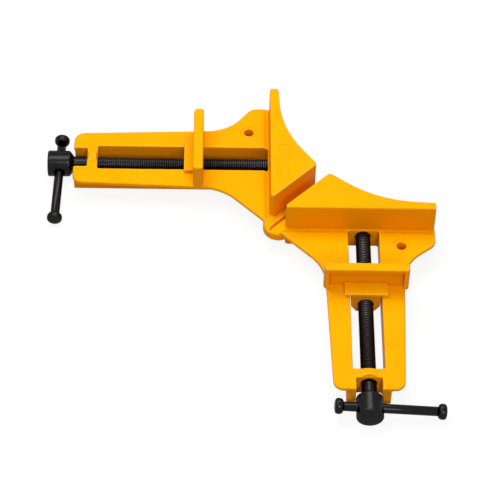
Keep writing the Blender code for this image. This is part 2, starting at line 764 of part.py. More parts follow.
def make_cap(side, end, material):
    """Barrel-shaped cap with a blind hole, pressed on one end of the tommy bar."""
    radius = CAP_DIAMETER / 2.0
    hole = SPIGOT_DIAMETER / 2.0 + FIT_GAP
    depth = SPIGOT_LENGTH + 2.0 * FIT_GAP
    profile = [(hole, depth), (hole, 0.0)]
    for drop, setback in quarter_round(CAP_ROUND):
        profile.append((radius - setback, drop))
    for drop, setback in reversed(quarter_round(CAP_ROUND)):
        profile.append((radius - setback, CAP_LENGTH - drop))
    profile.append((CAP_CROWN_RADIUS, CAP_LENGTH + CAP_DOME))
    cap = turned_solid(side + "_" + end + "_cap", profile, CAP_SEGMENTS, material)
    place = bar_matrix(side, BAR_LEAN[side])
    if end == "long":
        reach = BAR_LENGTH - BAR_SHORT_END - CAP_LENGTH
        cap.matrix_world = place @ Matrix.Translation((0.0, 0.0, reach))
    else:
        turn = Matrix.Rotation(math.pi, 4, "X")
        cap.matrix_world = place @ Matrix.Translation((0.0, 0.0, CAP_LENGTH - BAR_SHORT_END)) @ turn
    smooth_sharp(cap)
    return cap


def make_jaw(side, material):
    """Sliding jaw: pocketed pressure plate, carriage on the arm, nut boss in the slot."""
    face = JAW_OPENING[side]
    half = JAW_WIDTH / 2.0
    low, high = ARM_CENTRE - half, ARM_CENTRE + half
    outline = wing_outline(side, [
        (low, face, JAW_FRONT_RADIUS),
        (high, face, JAW_FRONT_RADIUS),
        (high, face + JAW_THICKNESS, JAW_BACK_RADIUS),
        (low, face + JAW_THICKNESS, JAW_BACK_RADIUS),
    ])
    levels = rounded_top(height(JAW_PLATE_GAP), height(JAW_TOP), JAW_EDGE_ROUND)
    jaw = layered_solid(side + "_jaw", outline, levels, material)

    arm = JAW_CARRIAGE_WIDTH / 2.0
    carriage = rectangle(side, ARM_CENTRE - arm, ARM_CENTRE + arm,
                         face + JAW_WEB / 2.0, face + JAW_REACH, CARRIAGE_CORNER_RADIUS)
    levels = rounded_top(height(FIT_GAP), height(JAW_CARRIAGE_HEIGHT), CARRIAGE_EDGE_ROUND)
    carriage = layered_solid(side + "_jaw_carriage", carriage, levels)

    wide = NUT_WIDTH / 2.0
    narrow = wide - NUT_CHAMFER_WIDTH
    nut = [
        (-wide, JAW_CARRIAGE_HEIGHT / 2.0),
        (-wide, NUT_CHAMFER_HEIGHT - NUT_FOOT),
        (-narrow, -NUT_FOOT),
        (narrow, -NUT_FOOT),
        (wide, NUT_CHAMFER_HEIGHT - NUT_FOOT),
        (wide, JAW_CARRIAGE_HEIGHT / 2.0),
    ]
    nut = layered_solid(side + "_jaw_nut", nut, [(NUT_FRONT, 0.0), (JAW_REACH - NUT_BACK_STEP, 0.0)])
    nut.matrix_world = arm_matrix(side, ARM_CENTRE, face, 0.0)

    inner = half - JAW_SIDE_RIM
    pocket = rounded_outline([
        (-inner, -CUT_MARGIN, 0.0),
        (inner, -CUT_MARGIN, 0.0),
        (inner, JAW_TOP - JAW_TOP_RIM, POCKET_RADIUS),
        (-inner, JAW_TOP - JAW_TOP_RIM, POCKET_RADIUS),
    ])
    levels = [(JAW_WEB, 0.0), (JAW_THICKNESS + CUT_MARGIN, 0.0)]
    pocket = layered_solid(side + "_jaw_pocket", pocket, levels)
    pocket.matrix_world = arm_matrix(side, ARM_CENTRE, face, 0.0)

    radius = SCREW_DIAMETER / 2.0 + FIT_GAP
    bore = turned_solid(side + "_jaw_bore", [(radius, -CUT_MARGIN), (radius, JAW_REACH + CUT_MARGIN)],
                        ROD_SEGMENTS)
    bore.matrix_world = arm_matrix(side, ARM_CENTRE, face, -SCREW_DROP)

    combine(jaw, pocket, "DIFFERENCE")
    combine(jaw, carriage, "UNION")
    combine(jaw, nut, "UNION")
    combine(jaw, bore, "DIFFERENCE")
    set_origin(jaw, (*wing_point(side, ARM_CENTRE, face), height(-SCREW_DROP)))
    return jaw


def build():
    clear_scene()
    casting = make_material("yellow_casting", YELLOW, 0.42, 0.0)
    turned = make_material("black_steel", BLACK, 0.38, 0.6)
    bright = make_material("spring_steel", STEEL, 0.35, 1.0)
    make_frame(casting)
    for side in SIDES:
        make_retaining_pin(side, bright)
        make_jaw(side, casting)
        make_screw(side, turned)
        make_bar(side, turned)
        for end in ("short", "long"):
            make_cap(side, end, turned)


build()
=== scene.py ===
import json
import math

import bpy
import numpy as np
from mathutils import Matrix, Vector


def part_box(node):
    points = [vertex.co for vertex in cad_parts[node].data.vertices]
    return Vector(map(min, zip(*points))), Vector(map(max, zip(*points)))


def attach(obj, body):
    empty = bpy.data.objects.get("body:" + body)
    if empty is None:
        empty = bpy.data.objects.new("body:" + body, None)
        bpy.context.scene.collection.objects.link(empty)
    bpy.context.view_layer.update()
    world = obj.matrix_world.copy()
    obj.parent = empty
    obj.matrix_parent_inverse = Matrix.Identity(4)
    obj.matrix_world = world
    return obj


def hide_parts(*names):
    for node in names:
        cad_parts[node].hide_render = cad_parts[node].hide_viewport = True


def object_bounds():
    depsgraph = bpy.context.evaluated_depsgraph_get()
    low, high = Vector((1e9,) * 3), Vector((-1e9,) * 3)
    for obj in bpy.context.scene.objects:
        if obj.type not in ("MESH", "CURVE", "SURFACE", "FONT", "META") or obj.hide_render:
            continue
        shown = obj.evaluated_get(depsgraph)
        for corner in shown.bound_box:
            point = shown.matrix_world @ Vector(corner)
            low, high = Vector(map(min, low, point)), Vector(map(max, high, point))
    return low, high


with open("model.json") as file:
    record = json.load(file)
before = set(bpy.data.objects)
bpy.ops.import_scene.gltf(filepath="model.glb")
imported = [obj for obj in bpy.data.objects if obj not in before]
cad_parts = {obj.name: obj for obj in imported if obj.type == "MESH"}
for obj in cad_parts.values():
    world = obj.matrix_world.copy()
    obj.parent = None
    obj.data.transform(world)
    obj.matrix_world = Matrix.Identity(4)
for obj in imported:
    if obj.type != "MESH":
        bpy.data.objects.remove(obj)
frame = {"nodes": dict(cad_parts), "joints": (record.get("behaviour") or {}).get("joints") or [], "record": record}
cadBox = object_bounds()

import openvdb
from mathutils import Matrix, Vector

# Looks of a yellow die-cast corner clamp with blackened screws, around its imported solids.
mm = 0.001
sides = ("left", "right")
nodes = frame["nodes"]
joints = {joint["name"]: joint for joint in frame["joints"]}
scene = bpy.context.scene


# Small helpers: colour, nodes and meshes.
def hexColour(text):
    # sRGB hex to linear: each channel is ((c + 0.055) / 1.055) to the power 2.4, straight below 0.04045
    channels = [int(text[i:i + 2], 16) / 255.0 for i in (1, 3, 5)]
    linear = [c / 12.92 if c <= 0.04045 else ((c + 0.055) / 1.055) ** 2.4 for c in channels]
    return (*linear, 1.0)


def addNode(tree, kind, inputs=None, **settings):
    node = tree.nodes.new("ShaderNode" + kind)
    for name, value in settings.items():
        setattr(node, name, value)
    for key, value in (inputs or {}).items():
        if isinstance(value, bpy.types.NodeSocket):
            tree.links.new(value, node.inputs[key])
        else:
            node.inputs[key].default_value = value
    return node


def newMaterial(name):
    material = bpy.data.materials.new(name)
    material.use_nodes = True
    return material, material.node_tree, material.node_tree.nodes["Principled BSDF"]


def perMetre(millimetres):
    # scale of a texture whose features are this far apart
    return 1000.0 / millimetres


def meshFromArrays(name, points, faceGroups):
    # faceGroups: arrays of corner numbers, one array for each number of sides
    mesh = bpy.data.meshes.new(name)
    corners = np.concatenate([group.ravel() for group in faceGroups]).astype(np.int32)
    sizes = np.concatenate([np.full(len(group), group.shape[1]) for group in faceGroups])
    mesh.vertices.add(len(points))
    mesh.vertices.foreach_set("co", np.ascontiguousarray(points, np.float32).ravel())
    mesh.loops.add(len(corners))
    mesh.loops.foreach_set("vertex_index", corners)
    starts = np.concatenate(([0], np.cumsum(sizes)[:-1]))
    mesh.polygons.add(len(sizes))
    mesh.polygons.foreach_set("loop_start", starts.astype(np.int32))
    mesh.update(calc_edges=True)
    mesh.shade_smooth()
    return mesh


def storeValues(mesh, name, values):
    # one number a point, read by the materials
    stored = mesh.attributes.get(name) or mesh.attributes.new(name, "FLOAT", "POINT")
    stored.data.foreach_set("value", np.ascontiguousarray(values, np.float32))


def storedValues(mesh, name):
    values = np.empty(len(mesh.vertices), np.float32)
    mesh.attributes[name].data.foreach_get("value", values)
    return values


def meshPoints(mesh):
    points = np.empty(len(mesh.vertices) * 3, np.float32)
    mesh.vertices.foreach_get("co", points)
    return points.reshape(-1, 3)


def meshTriangles(mesh):
    mesh.calc_loop_triangles()
    corners = np.empty(len(mesh.loop_triangles) * 3, np.int32)
    mesh.loop_triangles.foreach_get("vertices", corners)
    return corners.reshape(-1, 3)


def storeBend(mesh, passes):
    # bend in 1/mm: mean over a point's edges of (change of normal . edge) / edge length squared, then
    # evened with its neighbours; above zero on outer edges, below zero in inner corners, zero on flats.
    # Upright is 1 less the size of the normal's height: 0 on a level face, 1 on an upright one.
    count = len(mesh.vertices)
    points, normals = meshPoints(mesh), np.empty(count * 3, np.float32)
    pairs = np.empty(len(mesh.edges) * 2, np.int32)
    mesh.vertex_normals.foreach_get("vector", normals)
    normals = normals.reshape(-1, 3)
    mesh.edges.foreach_get("vertices", pairs)
    a, b = pairs.reshape(-1, 2).T
    step = (points[b] - points[a]).astype(float) / mm
    change = (normals[b] - normals[a]).astype(float)
    bend = (change * step).sum(axis=1) / np.maximum((step * step).sum(axis=1), 0.001)
    edges = np.maximum(np.bincount(a, minlength=count) + np.bincount(b, minlength=count), 1)
    value = (np.bincount(a, bend, count) + np.bincount(b, bend, count)) / edges
    for i in range(passes):
        around = (np.bincount(a, value[b], count) + np.bincount(b, value[a], count)) / edges
        value = 0.5 * value + 0.5 * around
    storeValues(mesh, "bend", value)
    storeValues(mesh, "upright", 1.0 - np.abs(normals[:, 2]))


def newPiece(name, mesh, body, material, replaced):
    piece = bpy.data.objects.new(name, mesh)
    scene.collection.objects.link(piece)
    mesh.materials.append(material)
    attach(piece, body)
    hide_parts(*replaced)
    return piece


def gridSurface(rings, closeStart=True, closeEnd=True):
    # rings: array (rows, columns, 3) of points, closed round the columns; returns points and faces.
    # Each face joins a row to the next; a centre point closes each end with a fan.
    rows, columns = rings.shape[:2]
    number = np.arange(rows * columns).reshape(rows, columns)
    following = np.roll(number, -1, axis=1)
    quads = np.stack((number[:-1], following[:-1], following[1:], number[1:]), -1).reshape(-1, 4)
    points = [rings.reshape(-1, 3)]
    triangles = []
    count = rows * columns
    for wanted, row, turned in ((closeStart, 0, True), (closeEnd, rows - 1, False)):
        if wanted:
            points.append(rings[row].mean(axis=0)[None])
            pole = np.full(columns, count)
            ring = (following[row], number[row], pole) if turned else (number[row], following[row], pole)
            triangles.append(np.stack(ring, -1))
            count += 1
    return np.concatenate(points), [quads] + triangles


# Axes: each turned piece is worked out about its own axis, then laid along the real one.
def axisFrame(origin, direction):
    # a point (x, y, along) goes to origin + x * side + y * up + along * direction
    along = np.array(direction, float) / np.linalg.norm(direction)
    side = np.cross([0.0, 0.0, 1.0], along)
    side = side / np.linalg.norm(side)
    up = np.cross(along, side)
    return np.array(origin, float), np.stack((side, up, along))


def turned(profile, columns, place):
    # lathe: each (radius, along) of the profile goes round the axis in even steps
    origin, axes = place
    radius = np.array([p[0] for p in profile])[:, None]
    along = np.array([p[1] for p in profile])[:, None]
    angle = 2.0 * math.pi * np.arange(columns)[None] / columns
    local = np.stack((radius * np.cos(angle), radius * np.sin(angle), along + 0.0 * angle), -1)
    return gridSurface(origin + local @ axes)


def roundCorner(corner, radius, toward, away, steps=6):
    # arc of the radius between two straight runs that meet square at the corner (radius, along)
    corner, toward, away = (np.array(v, float) for v in (corner, toward, away))
    centre = corner + radius * (toward + away)
    turn = 0.5 * math.pi * np.arange(steps + 1) / steps
    arc = centre - radius * (np.outer(np.cos(turn), away) + np.outer(np.sin(turn), toward))
    return [tuple(p) for p in arc]


print("Frame read:", len(nodes), "nodes")


# Materials.
def storedTone(tree, colour, stored, tone, share, start, full):
    # lays a tone over the colour where the stored number runs from start to full
    number = addNode(tree, "Attribute", attribute_name=stored)
    amount = addNode(tree, "MapRange", {"Value": number.outputs["Fac"], "From Min": start,
                                        "From Max": full, "To Max": share})
    mix = addNode(tree, "Mix", {"Factor": amount.outputs["Result"], "A": colour}, data_type="RGBA")
    mix.inputs["B"].default_value = hexColour(tone)
    return mix.outputs["Result"]


noiseRange = {"From Min": 0.3, "From Max": 0.7}      # what a noise node gives runs between these


def patterned(tree, shader, size):
    # object coordinates, a broad and a fine noise, and the bump that the fine one makes
    place = addNode(tree, "TexCoord").outputs["Object"]
    broad = addNode(tree, "TexNoise", {"Vector": place, "Scale": perMetre(size["mottle"]), "Detail": 3.0})
    fine = addNode(tree, "TexNoise", {"Vector": place, "Scale": perMetre(size["grain"]), "Detail": 2.0})
    tone = addNode(tree, "MapRange", {"Value": broad.outputs["Fac"], **noiseRange})
    colour = addNode(tree, "Mix", {"Factor": tone.outputs["Result"]}, data_type="RGBA")
    colour.inputs["A"].default_value = hexColour(size["dark"])
    colour.inputs["B"].default_value = hexColour(size["light"])
    result = colour.outputs["Result"]
    for tone in size["tones"]:
        result = storedTone(tree, result, *tone)
    tree.links.new(result, shader.inputs["Base Color"])
    gloss = addNode(tree, "MapRange", {"Value": fine.outputs["Fac"], **noiseRange,
                                       "To Min": size["gloss"][0], "To Max": size["gloss"][1]})
    tree.links.new(gloss.outputs["Result"], shader.inputs["Roughness"])
    bump = addNode(tree, "Bump", {"Height": fine.outputs["Fac"], "Strength": size["bump"],
                                  "Distance": size["relief"] * mm})
    return place, bump


powderCoat = {
    "dark": "#FAAB00",      # the two tones are close: a new, even coat
    "light": "#FDB200",
    "tones": [              # stored number, tone, share, and the values where it starts and is full
        ("upright", "#F09400", 1.00, 0.35, 0.85),       # painted shade: upright walls get a more orange tone, standing in for the shade that side faces are in
        ("bend", "#FFC648", 0.55, 0.20, 0.80),          # painted highlight: a lighter tone over outer edges, for the light that rounded edges catch
        ("bend", "#B04E00", 0.60, -0.08, -0.60),        # painted shade: a darker tone in inner corners and along the floor of the pressed marks, where shade falls
    ],
    "mottle": 14.0,         # mm between broad patches
    "grain": 1.1,           # mm from crest to crest of the orange peel
    "relief": 0.05,         # mm of height in the orange peel
    "bump": 0.3,            # share of that height that the bump uses
    "gloss": (0.46, 0.56),  # roughness, least and most
    "specular": 0.14,
    "glossTint": "#FFB840",     # the pigment lies at the surface and keeps the reflections warm
}


def makePowderCoat(name):
    # polyester powder coat baked on an aluminium die casting: a thick saturated film with a soft,
    # broad highlight, a faint orange peel and no metal showing
    material, tree, shader = newMaterial(name)
    place, bump = patterned(tree, shader, powderCoat)
    tree.links.new(bump.outputs["Normal"], shader.inputs["Normal"])
    shader.inputs["IOR"].default_value = 1.5
    shader.inputs["Specular IOR Level"].default_value = powderCoat["specular"]
    shader.inputs["Specular Tint"].default_value = hexColour(powderCoat["glossTint"])
    return material


blackOxide = {
    "dark": "#0A090A",
    "light": "#120F10",
    "tones": [
        ("bend", "#7C7779", 0.40, 0.50, 2.00),      # handling polishes outer edges towards the steel
    ],
    "mottle": 5.0,          # mm between lighter and darker patches of oxide
    "grain": 0.5,           # mm, the fine tooth of the oxide, drawn coarser than it is so that it shows
    "relief": 0.02,
    "bump": 0.3,
    "gloss": (0.26, 0.40),
    "ringPitch": 1.2,       # mm between turning marks, drawn coarser than the real feed of 0.15 mm
    "ringRelief": 0.012,    # mm
    "ringBump": 0.5,        # share of that height that the bump uses
    "ringWaver": 0.4,       # how far the rings stray from straight
    "edgeOn": "#595959",    # tint of what it reflects edge on, which stays dark
    "oil": 0.30,            # share and roughness of the oil's own gloss
    "oilRoughness": 0.17,
}


def makeBlackOxide(name, axisName):
    # hot black oxide on turned steel: a nearly black metal film with a trace of oil on it, soft grey
    # highlights, small bright glints on the edges and faint rings left by the tool
    material, tree, shader = newMaterial(name)
    place, grain = patterned(tree, shader, blackOxide)
    ringScale = perMetre(blackOxide["ringPitch"]) * 2.0 * math.pi / 20.0    # a wave node's own factor is 20
    rings = addNode(tree, "TexWave", {"Vector": place, "Scale": ringScale,
                                      "Distortion": blackOxide["ringWaver"]},
                    wave_type="BANDS", bands_direction=axisName)
    bump = addNode(tree, "Bump", {"Height": rings.outputs["Fac"], "Strength": blackOxide["ringBump"],
                                  "Distance": blackOxide["ringRelief"] * mm,
                                  "Normal": grain.outputs["Normal"]})
    tree.links.new(bump.outputs["Normal"], shader.inputs["Normal"])
    shader.inputs["Metallic"].default_value = 1.0
    shader.inputs["Specular Tint"].default_value = hexColour(blackOxide["edgeOn"])
    shader.inputs["Coat Weight"].default_value = blackOxide["oil"]
    shader.inputs["Coat Roughness"].default_value = blackOxide["oilRoughness"]
    return material


groundSteel = {
    "dark": "#8C8D90",
    "light": "#A2A3A6",
    "tones": [],
    "mottle": 3.0,          # mm
    "grain": 0.4,           # mm, drawn coarser than the real grain of a few hundredths
    "relief": 0.01,
    "bump": 0.3,
    "gloss": (0.22, 0.34),
}


def makeGroundSteel():
    # centreless-ground dowel steel: bright, with a fine even grain
    material, tree, shader = newMaterial("groundSteel")
    place, bump = patterned(tree, shader, groundSteel)
    tree.links.new(bump.outputs["Normal"], shader.inputs["Normal"])
    shader.inputs["Metallic"].default_value = 1.0
    return material


coats = {"frame": makePowderCoat("powderCoatBody"), "jaw": makePowderCoat("powderCoatJaw")}
screwBlack = {"left": makeBlackOxide("blackOxideScrewLeft", "X"),
              "right": makeBlackOxide("blackOxideScrewRight", "Y")}
barBlack = {"left": makeBlackOxide("blackOxideBarLeft", "Y"),
            "right": makeBlackOxide("blackOxideBarRight", "X")}
pinSteel = makeGroundSteel()
print("Materials made")


# Castings: the CAD solid with every edge rounded and every inner corner filleted, as a die leaves them.
def nodeTriangles(node):
    # merged points and triangles of a CAD node, whose mesh is loose triangles
    points, corners = meshPoints(nodes[node].data), meshTriangles(nodes[node].data)
    keys = np.round(points / (0.001 * mm)).astype(np.int64)
    first, merged = np.unique(keys, axis=0, return_index=True, return_inverse=True)[1:]
    triangles = merged.ravel()[corners]
    whole = (triangles != np.roll(triangles, 1, axis=1)).all(axis=1)
    return points[first], triangles[whole].astype(np.uint32)


def distanceField(points, triangles, quads, voxel, reach):
    # grid of signed distances to the surface, kept to a band a little wider than reach
    return openvdb.FloatGrid.createLevelSetFromPolygons(
        points, triangles=triangles if len(triangles) else None, quads=quads if len(quads) else None,
        transform=openvdb.createLinearTransform(voxelSize=voxel), halfWidth=reach / voxel + 3.0)


def softened(points, triangles, size):
    # Moved out by the fillet, in by fillet and edge, out by the edge: the first pair fills inner
    # corners with the fillet's radius, the second rounds outer edges, and flat faces come back in place.
    voxel, fillet, edge = (size[key] * mm for key in ("voxel", "fillet", "edge"))
    quads = np.empty((0, 4), np.uint32)
    for reach, shift in ((fillet, fillet), (fillet + edge, -fillet - edge)):
        field = distanceField(points, triangles, quads, voxel, reach)
        points, triangles, quads = field.convertToPolygons(isovalue=shift, adaptivity=0.0)
    field = distanceField(points, triangles, quads, voxel, edge)
    points, triangles, quads = field.convertToPolygons(isovalue=edge, adaptivity=size["simplify"])
    return outwards(points, [group for group in (quads, triangles) if len(group)])


def signedVolume(points, groups):
    # sum over fans of triangles of a . (b x c) / 6: above zero where faces point outwards
    total = 0.0
    for group in groups:
        for i in range(1, group.shape[1] - 1):
            a, b, c = (points[group[:, k]].astype(float) for k in (0, i, i + 1))
            total += float(np.einsum("ij,ij->i", a, np.cross(b, c)).sum()) / 6.0
    return total


def outwards(points, groups):
    # turns every face round if the shell is inside out
    if signedVolume(points - points.mean(axis=0), groups) < 0.0:
        groups = [group[:, ::-1] for group in groups]
    return points, groups


def cutWith(points, groups, toolPoints, toolGroups):
    # exact cut of one closed surface by another, read back as points and triangles
    pair = []
    for name, p, g in (("cutBody", points, groups), ("cutTool", toolPoints, toolGroups)):
        holder = bpy.data.objects.new(name, meshFromArrays(name, p, g))
        scene.collection.objects.link(holder)
        pair.append(holder)
    cut = pair[0].modifiers.new("cut", "BOOLEAN")
    cut.operation = "DIFFERENCE"
    cut.solver = "EXACT"
    cut.object = pair[1]
    mesh = pair[0].evaluated_get(bpy.context.evaluated_depsgraph_get()).to_mesh()
    result = meshPoints(mesh), meshTriangles(mesh).astype(np.uint32)
    for holder in pair:
        bpy.data.objects.remove(holder)
    return result


def joinShells(*shells):
    # several closed surfaces in one mesh
    points, groups, count = [], [], 0
    for shellPoints, shellGroups in shells:
        points.append(shellPoints)
        groups += [group.astype(np.int64) + count for group in shellGroups]
        count += len(shellPoints)
    return np.concatenate(points), groups


# The shallow marks in the body, which the softening is too coarse to keep, are cut in afterwards: the
# bare name recess and the dish round each mounting hole. Each is cut a little deeper than in the solid,
# so that nothing of the softened one is left in it.
pressedMarks = [    # mm: centre x, y; half length x, y; corner radius; depth; height of the face around
    {"centre": (-0.2, 33.8), "half": (3.6, 14.5), "corner": 1.0, "depth": 0.38, "level": 37.6},
]
markCut = {
    "seatToHole": 4.5,      # mm along the wing from the seat's mount back to the hole's centre
    "seatDepth": 0.4,       # mm from the seat's mount up to the face round the dish
    "dish": 5.75,           # mm, radius of a dish's floor
    "dishDepth": 0.43,
    "draft": 0.3,           # mm that a wall leans out for each mm of height
    "rim": 0.4,             # mm, width of the band along a wall that holds its shading
    "over": 0.8,            # mm that the cutter stands above the face
    "columns": 64,
}
for mount in frame["record"]["mounts"]:
    if mount["name"].endswith("_screw_seat"):
        seat = [value / mm for value in mount["pos_m"]]
        centre = [value - markCut["seatToHole"] if value > 0.0 else value for value in seat[:2]]
        pressedMarks.append({"centre": centre, "half": (markCut["dish"], markCut["dish"]),
                             "corner": markCut["dish"], "depth": markCut["dishDepth"],
                             "level": seat[2] + markCut["seatDepth"]})


def markCutter(mark):
    # prism on a rounded outline: the centre of each corner's arc, and round it the corner's radius,
    # which grows with the height; a band inside the floor's edge comes first
    turn = 2.0 * math.pi * (np.arange(markCut["columns"]) + 0.5) / markCut["columns"]
    spin = np.stack((np.cos(turn), np.sin(turn)), -1)
    arcs = np.array(mark["centre"]) + np.sign(spin) * (np.array(mark["half"]) - mark["corner"])
    floor = mark["level"] - mark["depth"]
    rings = []
    rise = mark["depth"] + markCut["over"]
    for height, grown in ((0.0, -markCut["rim"]), (0.0, 0.0), (rise, markCut["draft"] * rise)):
        outline = arcs + (mark["corner"] + grown) * spin
        rings.append(np.column_stack((outline, np.full(len(turn), floor + height))))
    return outwards(*gridSurface(np.array(rings) * mm))


def evenRims(mesh, marks):
    # the flat faces round and in a mark have few points, so a bend on its upper rim or away from its
    # wall would smear over them; distance from the outline = length(max(|p - centre| - half + corner,
    # 0)) - corner, and drop runs from 0 on the face round the mark to 1 on its floor
    points, bend = meshPoints(mesh) / mm, storedValues(mesh, "bend")
    for mark in marks:
        inner = np.array(mark["half"]) - mark["corner"]
        beyond = np.maximum(np.abs(points[:, :2] - mark["centre"]) - inner, 0.0)
        distance = np.hypot(beyond[:, 0], beyond[:, 1]) - mark["corner"]
        drop = (mark["level"] - points[:, 2]) / mark["depth"]
        bend[(drop < 0.5) & (distance < markCut["rim"])] = 0.0
        bend[(drop < 1.5) & (distance < -0.5 * markCut["rim"])] = 0.0
    storeValues(mesh, "bend", bend)


flatLook = {
    "sharpFrom": 62.0,      # degrees: only the walls of the pressed marks are as steep as this
    "areaWeight": 50,
}


def keepFlats(piece):
    # normals weighted by face area, so that a flat face stays flat up to its rounded edge
    piece.data.set_sharp_from_angle(angle=math.radians(flatLook["sharpFrom"]))
    weighted = piece.modifiers.new("keepFlats", "WEIGHTED_NORMAL")
    weighted.weight = flatLook["areaWeight"]
    weighted.keep_sharp = True


bodyCasting = {
    "voxel": 0.36,          # mm, the field's grid
    "fillet": 0.45,         # mm, radius in inner corners
    "edge": 0.30,           # mm, radius on outer edges
    "simplify": 0.05,       # how freely flat faces are joined into larger ones
}
jawCasting = {**bodyCasting, "voxel": 0.22}


def makeCasting(node, body, size, coat, marks):
    points, groups = softened(*nodeTriangles(node), size)
    low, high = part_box(node)        # the field rounds outer flats to within a few thousandths of a mm
    points = np.clip(points, low, high)
    if marks:
        points, triangles = cutWith(points, groups, *joinShells(*[markCutter(mark) for mark in marks]))
        groups = [triangles]
    piece = newPiece(node + "_cast", meshFromArrays(node + "_cast", points, groups), body,
                     coat, [node])
    keepFlats(piece)
    storeBend(piece.data, 1)
    evenRims(piece.data, marks)
    print("Casting", node, sum(len(group) * (group.shape[1] - 2) for group in groups), "triangles")


makeCasting("clamp_body", "frame", bodyCasting, coats["frame"], pressedMarks)
for side in sides:
    makeCasting(side + "_jaw", side + "_jaw", jawCasting, coats["jaw"], [])


# Lead screws: a rolled thread on the shank, and a turned head with a cross hole for the bar.
leadScrew = {
    "pitch": 1.5,           # mm a turn
    "depth": 0.92,          # mm from crest to root
    "crest": 0.16,          # shares of the pitch that are flat on the crest and at the root
    "root": 0.22,
    "shank": 5.0,           # mm, crest radius
    "lead": 1.0,            # mm, chamfer at the tail
    "leanTurns": 2.0,       # turns over which the grid takes up the helix, and leaves it again
    "threadEnd": 125.0,     # mm from the tail to where the thread runs out, inside the bearing
    "runOut": 1.5,          # mm over which it does
    "grooveFrom": 125.8,    # mm from the tail to the retaining pin's groove
    "grooveTo": 129.4,
    "groove": 3.2,          # mm, radius at the groove's floor
    "crestBend": 2.0,       # bend stored on the crests, which the jaw's nut keeps bright
    "crestFade": 0.5,       # share of the thread's depth over which it fades down the flanks
    "rowsPerTurn": 12,
    "columns": 48,
}


def screwPlace(side):
    # along runs from the tail to the head, on the axis of the screw's joint
    joint = joints[side + "_screw_turn"]
    outward = -np.array(joint["axis"], float)
    low, high = (np.array(corner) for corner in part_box(side + "_lead_screw"))
    tail = np.array(joint["pos_m"], float)
    axis = int(np.argmax(np.abs(outward)))
    tail[axis] = high[axis] if outward[axis] < 0.0 else low[axis]
    return axisFrame(tail, outward), high[axis] - low[axis], (high[2] - low[2]) / 2.0


def threadDepth(phase):
    # 0 on the crest, 1 at the root, straight flanks between; phase counts turns along the helix
    share = np.abs(2.0 * (phase - np.floor(phase)) - 1.0)
    low, high = leadScrew["crest"], 1.0 - leadScrew["root"]
    return np.clip((share - low) / (high - low), 0.0, 1.0)


def smoothStep(value, start, end):
    share = np.clip((value - start) / (end - start), 0.0, 1.0)
    return share * share * (3.0 - 2.0 * share)


def shankSurface(place, length):
    # radius(along, angle) = shank less the thread's depth at (along / pitch - turn), and rows that
    # lean by one pitch a turn, so that the grid's lines follow the helix; returns the bend too
    s = leadScrew
    pitch = s["pitch"]
    rows = int(length / pitch * s["rowsPerTurn"])
    base = np.linspace(0.0, length, rows)[:, None]
    turn = (np.arange(s["columns"]) / s["columns"])[None]
    run = s["leanTurns"] * pitch
    lean = smoothStep(base, 0.0, run) * (1.0 - smoothStep(base, s["threadEnd"], s["threadEnd"] + run))
    along = base + pitch * (turn - 0.5) * lean
    ended = smoothStep(along, s["threadEnd"] - s["runOut"], s["threadEnd"])
    cut = smoothStep(along, 0.0, s["lead"]) * (1.0 - ended)
    radius = s["shank"] - s["depth"] * cut * threadDepth(along / pitch - turn)
    radius = radius - np.clip(s["lead"] - along, 0.0, s["lead"])
    inGroove = (along > s["grooveFrom"]) & (along < s["grooveTo"])
    radius = np.where(inGroove, np.minimum(radius, s["groove"]), radius)
    angle = 2.0 * math.pi * turn
    origin, axes = place
    local = np.stack((radius * np.cos(angle), radius * np.sin(angle), along + 0.0 * angle), -1) * mm
    worn = 1.0 - smoothStep(threadDepth(along / pitch - turn), 0.0, s["crestFade"])
    crest = s["crestBend"] * cut * worn
    return gridSurface(origin + local @ axes), crest.ravel()


screwHead = {
    "voxel": 0.20, "fillet": 0.25, "edge": 0.25, "simplify": 0.02,      # as for the castings
    "shankStop": 2.0,       # mm from the head's lower end back to the end of the shank, inside the neck
    "shoulderFrom": 2.6,    # mm from the head's lower end back to the neck
    "length": 15.2,         # mm, the head's cylinder
    "neck": 5.0,            # mm, radius
    "neckLength": 2.0,      # mm
    "step": (0.6, 0.3),     # mm out and along, from the neck to the shoulder's cone
    "coneTop": 8.1,         # mm, radius where the shoulder's cone meets the head
    "coneEdge": 0.4,        # mm to either side of where they meet
    "rim": 1.0,             # mm, radius of the rim round the domed end
    "barHole": 3.65,        # mm, radius of the cross hole
    "holeInset": 7.0,       # mm from the head's lower end to the hole
    "crown": 0.3,           # mm, height of the domed end
    "columns": 96,
    "domeRows": 8,
    "holeColumns": 64,
}


def headSurface(place, length, radius, barAxis):
    # turned profile: neck, cone, cylinder, domed end; then the cross hole on the bar's axis, which is
    # drilled square to the screw
    h = screwHead
    end = length / mm - h["crown"]
    start = end - h["length"]
    cone = start - h["shoulderFrom"]
    radius = radius / mm
    profile = [(h["neck"], cone - h["neckLength"]), (h["neck"], cone),
               (h["neck"] + h["step"][0], cone + h["step"][1]),
               (h["coneTop"], start - h["coneEdge"]), (radius, start + h["coneEdge"])]
    profile += roundCorner((radius, end), h["rim"], (0.0, -1.0), (-1.0, 0.0))
    domed = np.linspace(radius - h["rim"], 0.0, h["domeRows"])[1:-1]
    profile += [(r, end + h["crown"] * (1.0 - (r / radius) ** 2)) for r in domed]
    points, groups = turned([(r * mm, a * mm) for r, a in profile], h["columns"], place)
    origin, axes = place
    crossing = origin + axes[2] * (start + h["holeInset"]) * mm
    square = np.array(barAxis) - np.dot(barAxis, axes[2]) * axes[2]
    across = axisFrame(crossing, square)
    reach = 2.0 * radius * mm
    hole = turned([(h["barHole"] * mm, -reach), (h["barHole"] * mm, reach)], h["holeColumns"], across)
    points, triangles = cutWith(points, groups, *hole)
    return softened(points, triangles, h)


sharpSteel = math.radians(50.0)     # edges of turned pieces that are steeper than this stay sharp


